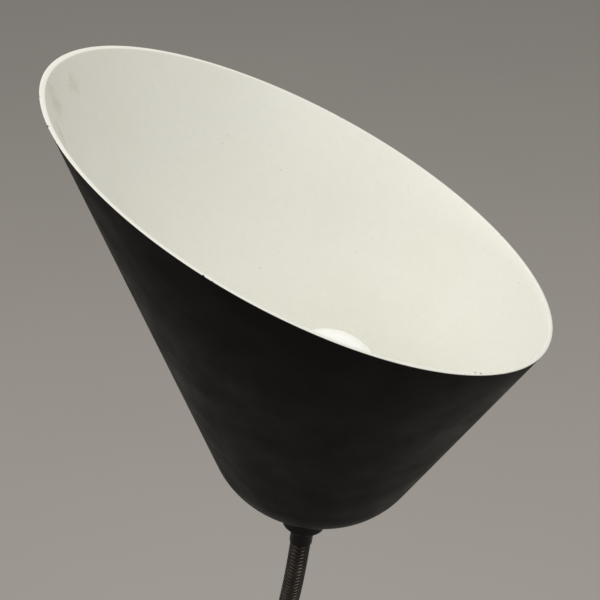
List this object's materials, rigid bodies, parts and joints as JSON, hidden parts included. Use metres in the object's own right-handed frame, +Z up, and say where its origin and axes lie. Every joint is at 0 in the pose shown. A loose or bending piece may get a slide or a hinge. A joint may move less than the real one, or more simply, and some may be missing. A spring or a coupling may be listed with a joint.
{
  "type": "gooseneck floor lamp",
  "caption": "Floor lamp with a weighted round base, straight pole, flexible neck and a slant-cut conical shade over a screw bulb; the neck bends and a foot button switches it.",
  "frame": {"origin": "centre of the base's underside, on the floor", "axes": "+Z up the pole; the neck reaches forward over -Y; the shade leans to +X and its mouth faces up and to +X"},
  "size_m": [0.3076, 0.4755, 1.6287],
  "materials": {
    "base_paint": "satin black paint on sheet steel",
    "cast_iron": "rough as cast",
    "pad_foam": "matte closed-cell foam",
    "zinc_steel": "zinc plated",
    "gland_rubber": "matte moulded rubber",
    "black_plastic": "moulded black plastic",
    "switch_plastic": "smooth moulded black plastic",
    "terminal_plastic": "pale nylon",
    "spring_steel": "bright drawn wire",
    "wire_sheath": "smooth wire insulation",
    "lead_sheath": "smooth black cable sheath",
    "pole_paint": "satin black paint on steel tube",
    "fitting_paint": "satin black paint on turned steel",
    "neck_steel": "black coated spring steel",
    "shade_paint": "satin black paint outside, cream white inside, on spun aluminium",
    "fibre": "pressed fibre",
    "insert_ceramic": "glazed ceramic",
    "brass": "drawn brass",
    "bulb_metal": "nickel plated",
    "opal_glass": "opal white glass"
  },
  "bodies": {
    "stand": {"base_pad": "pad_foam", "base_weight": "cast_iron", "base_cover": "base_paint", "base_stud": "zinc_steel", "base_washer": "zinc_steel", "base_nut": "zinc_steel", "cable_gland": "gland_rubber", "cord_clamp": "black_plastic", "clamp_screws": "zinc_steel", "terminal_block": "terminal_plastic", "switch_body": "black_plastic", "switch_ring": "switch_plastic", "switch_spring": "spring_steel", "switch_wires": "wire_sheath", "pole_foot": "pole_paint", "foot_grub_screw": "zinc_steel", "lower_pole": "pole_paint", "pole_joiner": "pole_paint", "upper_pole": "pole_paint", "neck_ferrule_lower": "fitting_paint", "pole_lead": "lead_sheath", "neck_link_00": "neck_steel"},
    "button": {"switch_button": "switch_plastic"},
    "neck_01": {"neck_link_01": "neck_steel", "neck_lead_01": "lead_sheath"},
    "neck_02": {"neck_link_02": "neck_steel", "neck_lead_02": "lead_sheath"},
    "neck_03": {"neck_link_03": "neck_steel", "neck_lead_03": "lead_sheath"},
    "neck_04": {"neck_link_04": "neck_steel", "neck_lead_04": "lead_sheath"},
    "neck_05": {"neck_link_05": "neck_steel", "neck_lead_05": "lead_sheath"},
    "neck_06": {"neck_link_06": "neck_steel", "neck_lead_06": "lead_sheath"},
    "neck_07": {"neck_link_07": "neck_steel", "neck_lead_07": "lead_sheath"},
    "neck_08": {"neck_link_08": "neck_steel", "neck_lead_08": "lead_sheath"},
    "neck_09": {"neck_link_09": "neck_steel", "neck_lead_09": "lead_sheath"},
    "neck_10": {"neck_link_10": "neck_steel", "neck_lead_10": "lead_sheath"},
    "neck_11": {"neck_link_11": "neck_steel", "neck_lead_11": "lead_sheath"},
    "head": {"neck_link_12": "neck_steel", "head_lead": "lead_sheath", "neck_ferrule_upper": "fitting_paint", "shade_collar": "fitting_paint", "shade": "shade_paint", "shade_washer": "fibre", "holder_cap": "black_plastic", "holder_insert": "insert_ceramic", "holder_contact": "brass", "holder_shell": "brass", "holder_body": "black_plastic", "bulb_cap": "bulb_metal", "bulb_glass": "opal_glass"}
  },
  "joints": [
    {"name": "foot_button", "type": "slide", "parent": "stand", "child": "button", "axis": [0, 0, -1], "range_m": [0, 0.003], "stiffness_N_per_m": 600, "springref_m": -0.003, "deforming": ["switch_spring"]},
    {"name": "bend_01", "type": "hinge", "parent": "stand", "child": "neck_01", "pos_m": [0, 0, 0.9775], "axis": [0.9848, 0.1736, -0.0049], "range_deg": [-22, 22]},
    {"name": "sway_02", "type": "hinge", "parent": "neck_01", "child": "neck_02", "pos_m": [0.0016, -0.00684, 1.01688], "axis": [-0.1638, 0.9513, 0.2613], "range_deg": [-18, 18]},
    {"name": "bend_03", "type": "hinge", "parent": "neck_02", "child": "neck_03", "pos_m": [0.00473, -0.02031, 1.05441], "axis": [0.9845, 0.1736, -0.0247], "range_deg": [-22, 22]},
    {"name": "sway_04", "type": "hinge", "parent": "neck_03", "child": "neck_04", "pos_m": [0.00924, -0.04001, 1.08893], "axis": [-0.122, 0.8067, 0.5782], "range_deg": [-18, 18]},
    {"name": "bend_05", "type": "hinge", "parent": "neck_04", "child": "neck_05", "pos_m": [0.01494, -0.06533, 1.11937], "axis": [0.9838, 0.1736, -0.0445], "range_deg": [-22, 22]},
    {"name": "sway_06", "type": "hinge", "parent": "neck_05", "child": "neck_06", "pos_m": [0.02154, -0.09551, 1.14478], "axis": [-0.0543, 0.5649, 0.8234], "range_deg": [-18, 18]},
    {"name": "bend_07", "type": "hinge", "parent": "neck_06", "child": "neck_07", "pos_m": [0.02875, -0.12962, 1.16438], "axis": [0.9827, 0.1736, -0.0642], "range_deg": [-22, 22]},
    {"name": "sway_08", "type": "hinge", "parent": "neck_07", "child": "neck_08", "pos_m": [0.03586, -0.1598, 1.18966], "axis": [-0.0693, 0.6964, 0.7143], "range_deg": [-18, 18]},
    {"name": "bend_09", "type": "hinge", "parent": "neck_08", "child": "neck_09", "pos_m": [0.04277, -0.18512, 1.21984], "axis": [0.9812, 0.1736, -0.0839], "range_deg": [-22, 22]},
    {"name": "sway_10", "type": "hinge", "parent": "neck_09", "child": "neck_10", "pos_m": [0.04935, -0.20481, 1.25403], "axis": [-0.1164, 0.8925, 0.4357], "range_deg": [-18, 18]},
    {"name": "bend_11", "type": "hinge", "parent": "neck_10", "child": "neck_11", "pos_m": [0.05548, -0.21829, 1.29119], "axis": [0.9793, 0.1736, -0.1036], "range_deg": [-22, 22]},
    {"name": "sway_12", "type": "hinge", "parent": "neck_11", "child": "head", "pos_m": [0.06102, -0.22513, 1.33021], "axis": [-0.1618, 0.9811, 0.1065], "range_deg": [-18, 18]}
  ],
  "couplings": [
    {"joint": "bend_03", "follows": "bend_01", "ratio": 1},
    {"joint": "sway_04", "follows": "sway_02", "ratio": 1},
    {"joint": "bend_05", "follows": "bend_01", "ratio": 1},
    {"joint": "sway_06", "follows": "sway_02", "ratio": 1},
    {"joint": "bend_07", "follows": "bend_01", "ratio": 1},
    {"joint": "sway_08", "follows": "sway_02", "ratio": 1},
    {"joint": "bend_09", "follows": "bend_01", "ratio": 1},
    {"joint": "sway_10", "follows": "sway_02", "ratio": 1},
    {"joint": "bend_11", "follows": "bend_01", "ratio": 1},
    {"joint": "sway_12", "follows": "sway_02", "ratio": 1}
  ]
}
